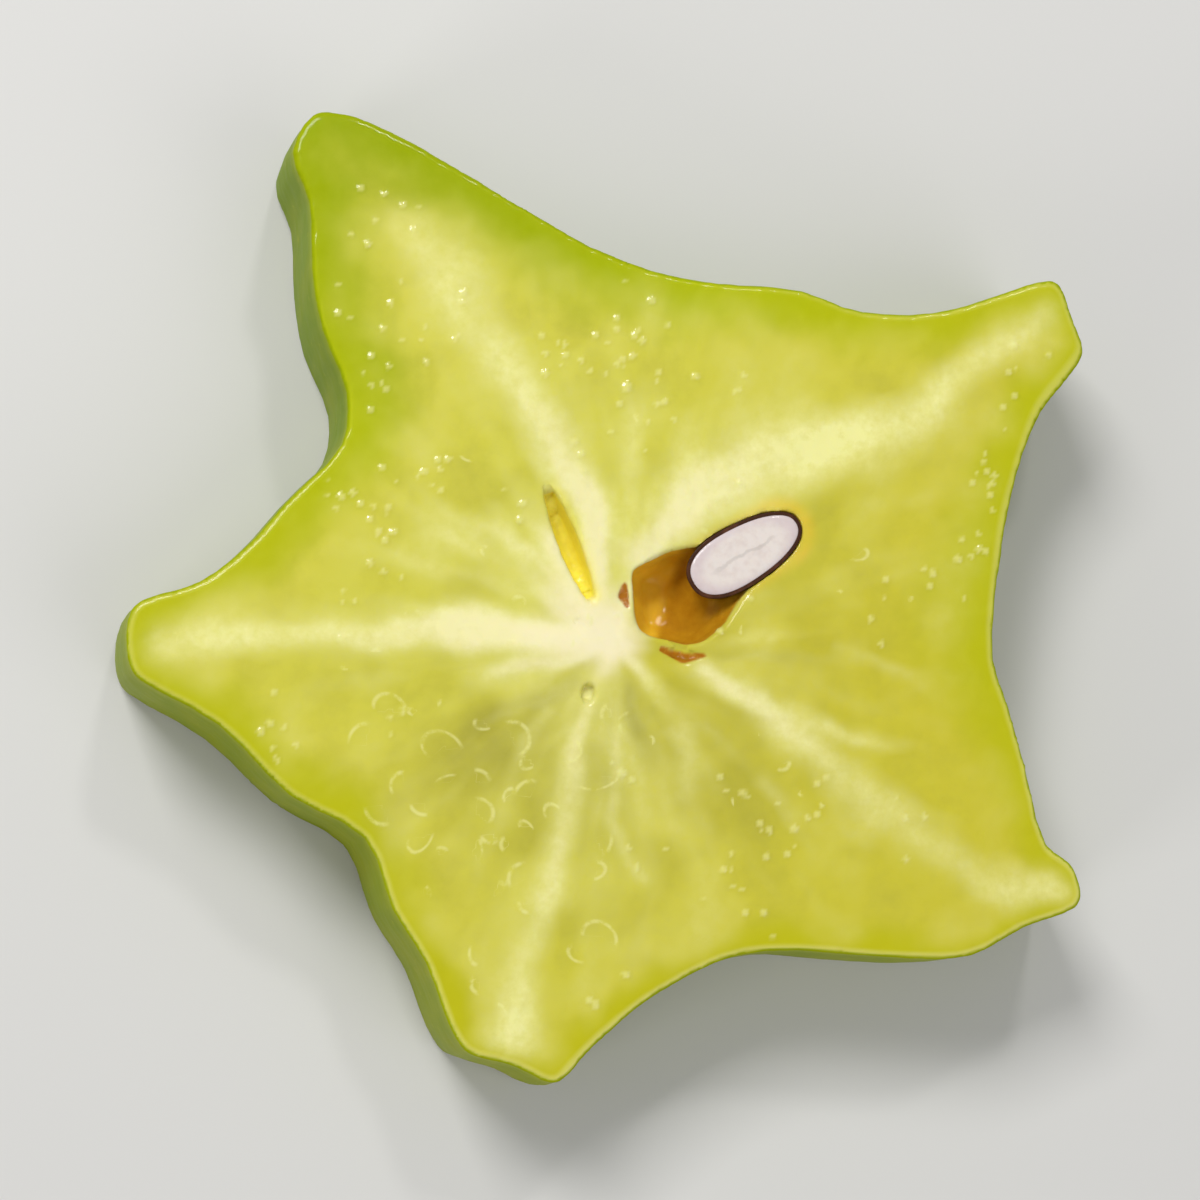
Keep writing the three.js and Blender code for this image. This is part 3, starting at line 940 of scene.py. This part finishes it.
def kernel_finish(look):
    """Firm ivory kernel, with a faint grey seam along its middle."""
    finish = Finish("seed_kernel_ivory")
    low, high = (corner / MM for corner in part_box("seed_kernel"))
    middle = (low + high) / 2
    heading = math.radians(31)
    placed = finish.moved(finish.place, (-middle.x, -middle.y, 0))
    x, y, _ = finish.parts(placed)
    length = x * math.cos(heading) + y * math.sin(heading)
    aside = y * math.cos(heading) - x * math.sin(heading)
    waver = (finish.noise(finish.place, 1.6, detail=2) - 0.5) * 0.5
    line = finish.math("ABSOLUTE", aside + waver).between(0.16, 0.03)
    seam = line * finish.math("ABSOLUTE", length).between(2.4, 1.2)
    tone = finish.noise(finish.place, 2.2, detail=4)
    colour = finish.mix(tone.between(0.4, 0.75) * 0.35, look.kernel, (0.62, 0.50, 0.45))
    outward = (length * length) / 9 + (aside * aside) / 2.1
    colour = finish.mix(outward.between(0.5, 1.1) * 0.55, colour, (0.60, 0.47, 0.50))
    colour = finish.mix(seam * 0.35, colour, (0.42, 0.38, 0.34))
    grain = finish.bump(tone, 0.06 * MM, strength=0.5)
    return finish.surface(
        Base_Color=colour,
        Roughness=0.38 + tone * 0.15,
        IOR=1.42,
        Subsurface_Weight=0.3,
        Subsurface_Radius=(1.0, 0.8, 0.6),
        Subsurface_Scale=0.5 * MM,
        Coat_Weight=0.5,
        Coat_Roughness=0.12,
        Normal=grain,
    )


def round_rim(piece, width):
    """Bevels the sharp rim of a seed part and smooths the part."""
    corner = math.radians(50)
    apply_modifier(piece, "BEVEL", width=width, segments=2, limit_method="ANGLE", angle_limit=corner)
    apply_modifier(piece, "SUBSURF", levels=2, render_levels=2)


def finish_piece(piece, node, material):
    """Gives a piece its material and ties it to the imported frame."""
    piece.data.materials.append(material)
    select_only(piece)
    bpy.ops.object.shade_smooth()
    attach(piece, "root")
    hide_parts(node)


class STARFRUIT_OT_slice(bpy.types.Operator):
    """Makes the slice of flesh and skin"""

    bl_idname = "starfruit.make_slice"
    bl_label = "Make Slice"

    def execute(self, context):
        look = context.scene.star_fruit_slice
        solid = solid_copy("fruit_slice", "slice_solid")
        piece = solid_copy("fruit_slice", "star_fruit_slice")
        apply_modifier(piece, "REMESH", mode="VOXEL", voxel_size=look.voxel)
        thin_underside(piece)
        refine_cut_face(piece)
        apply_modifier(piece, "SMOOTH", factor=0.5, iterations=3)
        apply_modifier(piece, "SHRINKWRAP", target=solid, wrap_method="NEAREST_SURFACEPOINT")
        apply_modifier(piece, "SMOOTH", factor=0.5, iterations=1)
        bpy.data.objects.remove(solid)
        close_seed_bed(piece)
        beads = raise_relief(piece, look)
        mark_zones(piece, look, beads)
        finish_piece(piece, "fruit_slice", flesh_finish(look))
        return {"FINISHED"}


class STARFRUIT_OT_seed(bpy.types.Operator):
    """Makes the halved seed: its brown coat and its ivory kernel"""

    bl_idname = "starfruit.make_seed"
    bl_label = "Make Seed"

    def execute(self, context):
        look = context.scene.star_fruit_seed
        coat = solid_copy("seed_coat", "halved_seed_coat")
        round_rim(coat, look.rim_bevel)
        finish_piece(coat, "seed_coat", coat_finish(look))
        kernel = solid_copy("seed_kernel", "halved_seed_kernel")
        round_rim(kernel, look.rim_bevel)
        places = coordinates(kernel)
        move_to(kernel, places + vertex_normals(kernel) * (look.kernel_fit / MM) * (1, 1, 0.3))
        finish_piece(kernel, "seed_kernel", kernel_finish(look))
        return {"FINISHED"}


class STARFRUIT_OT_stage(bpy.types.Operator):
    """Sets the floor, the lights and the camera"""

    bl_idname = "starfruit.make_stage"
    bl_label = "Make Stage"

    def execute(self, context):
        stage = context.scene.star_fruit_stage
        low, high = CAD_BOX
        centre = (low + high) / 2
        add_floor(stage, centre)
        add_camera(context.scene, stage, centre, max(high.x - low.x, high.y - low.y))
        add_lights(context.scene, centre)
        context.scene.view_settings.view_transform = "Standard"
        return {"FINISHED"}


def add_floor(stage, centre):
    bpy.ops.object.select_all(action="DESELECT")
    bpy.ops.mesh.primitive_plane_add(size=2.0, location=(centre.x, centre.y, -FLOOR_GAP))
    floor = bpy.context.object
    floor.name = "floor"
    finish = Finish("floor_matt")
    floor.data.materials.append(finish.surface(Base_Color=opaque(stage.floor), Roughness=0.7))


def aim(item, back, up):
    """Turns a camera or light so that it looks against back, with up towards the top of its view."""
    right = up.cross(back).normalized()
    turned = Matrix((right, back.cross(right), back)).transposed()
    item.rotation_mode = "QUATERNION"
    item.rotation_quaternion = turned.to_quaternion()


def add_camera(scene, stage, centre, width):
    data = bpy.data.cameras.new("camera")
    data.lens = stage.lens
    data.dof.use_dof = False
    camera = bpy.data.objects.new("camera", data)
    scene.collection.objects.link(camera)
    lean = math.sin(stage.tilt) / math.sqrt(2)
    back = Vector((-lean, -lean, math.cos(stage.tilt)))
    distance = width / stage.filling * stage.lens / data.sensor_width
    camera.location = centre + back * distance
    data.clip_start, data.clip_end = 0.01, 5
    aim(camera, back, Vector((0, 1, 0)))
    scene.camera = camera


# Soft boxes round the slice: bearing and elevation in degrees, distance, width and power
SOFT_BOXES = (
    ("key_light", 122, 52, 0.42, 0.14, 1.06),
    ("fill_light", -40, 45, 0.50, 0.36, 0.57),
    ("side_light", 215, 24, 0.45, 0.16, 0.36),
    ("sparkle_light", 75, 50, 0.50, 0.045, 0.30),
)


def add_lights(scene, centre):
    for name, bearing, elevation, distance, width, power in SOFT_BOXES:
        data = bpy.data.lights.new(name, "AREA")
        data.shape = "SQUARE"
        data.size = width
        data.energy = power
        light = bpy.data.objects.new(name, data)
        scene.collection.objects.link(light)
        turn, rise = math.radians(bearing), math.radians(elevation)
        back = Vector((math.cos(turn) * math.cos(rise), math.sin(turn) * math.cos(rise), math.sin(rise)))
        light.location = centre + back * distance
        aim(light, back, Vector((0, 0, 1)))
    world = bpy.data.worlds.new("studio")
    scene.world = world
    world.use_nodes = True
    background = world.node_tree.nodes["Background"]
    background.inputs["Color"].default_value = (0.95, 0.97, 1.0, 1.0)
    background.inputs["Strength"].default_value = 0.28


class STARFRUIT_PT_panel(bpy.types.Panel):
    """Lists the slice's operators and settings"""

    bl_label = "Star Fruit Slice"
    bl_idname = "STARFRUIT_PT_panel"
    bl_space_type = "VIEW_3D"
    bl_region_type = "UI"
    bl_category = "Star Fruit"

    def draw(self, context):
        for operator in OPERATORS:
            self.layout.operator(operator.bl_idname)
        for group in ("star_fruit_slice", "star_fruit_seed", "star_fruit_stage"):
            settings = getattr(context.scene, group)
            box = self.layout.box()
            for name in settings.bl_rna.properties.keys():
                if name not in ("rna_type", "name"):
                    box.prop(settings, name)


OPERATORS = (STARFRUIT_OT_slice, STARFRUIT_OT_seed, STARFRUIT_OT_stage)
GROUPS = (SliceSettings, SeedSettings, StageSettings)


def register():
    for item in GROUPS + OPERATORS + (STARFRUIT_PT_panel,):
        bpy.utils.register_class(item)
    bpy.types.Scene.star_fruit_slice = bpy.props.PointerProperty(type=SliceSettings)
    bpy.types.Scene.star_fruit_seed = bpy.props.PointerProperty(type=SeedSettings)
    bpy.types.Scene.star_fruit_stage = bpy.props.PointerProperty(type=StageSettings)


def unregister():
    del bpy.types.Scene.star_fruit_stage
    del bpy.types.Scene.star_fruit_seed
    del bpy.types.Scene.star_fruit_slice
    for item in reversed(GROUPS + OPERATORS + (STARFRUIT_PT_panel,)):
        bpy.utils.unregister_class(item)


def main():
    register()
    bpy.ops.starfruit.make_slice()
    bpy.ops.starfruit.make_seed()
    bpy.ops.starfruit.make_stage()


if __name__ == "__main__":
    main()
